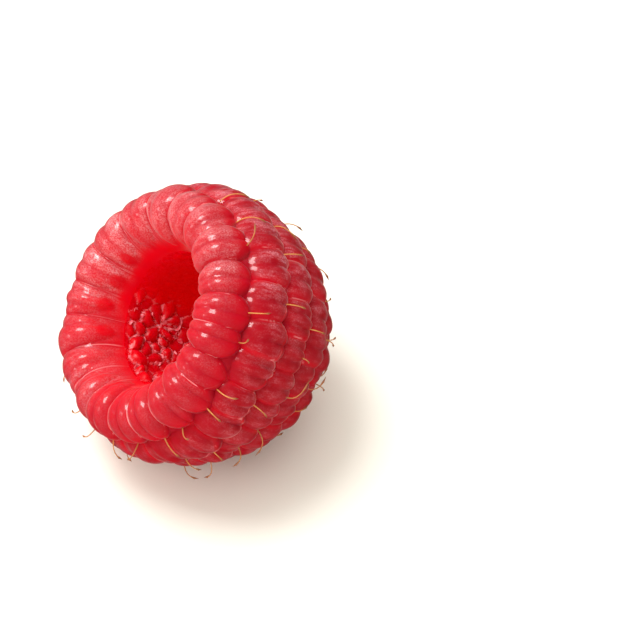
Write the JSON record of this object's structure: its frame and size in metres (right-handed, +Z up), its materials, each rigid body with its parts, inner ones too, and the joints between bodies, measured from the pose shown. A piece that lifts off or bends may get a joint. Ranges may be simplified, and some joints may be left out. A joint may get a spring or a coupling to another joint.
{
  "type": "raspberry",
  "caption": "Ripe red raspberry as picked, rows of small round drupelets grown together round an open hollow, lying on its side with the mouth tilted up",
  "frame": {"origin": "on the resting plane, under the middle of the fruit's bounding box", "axes": "+Z up; the axis of the hollow points out of the mouth towards -X, 19 degrees off it towards -Y, and about 42 degrees up"},
  "size_m": [0.0222, 0.0228, 0.0216],
  "materials": {
    "flesh": "soft, slightly glossy with a pale bloom"
  },
  "bodies": {
    "root": {"raspberry": "flesh"}
  },
  "joints": []
}
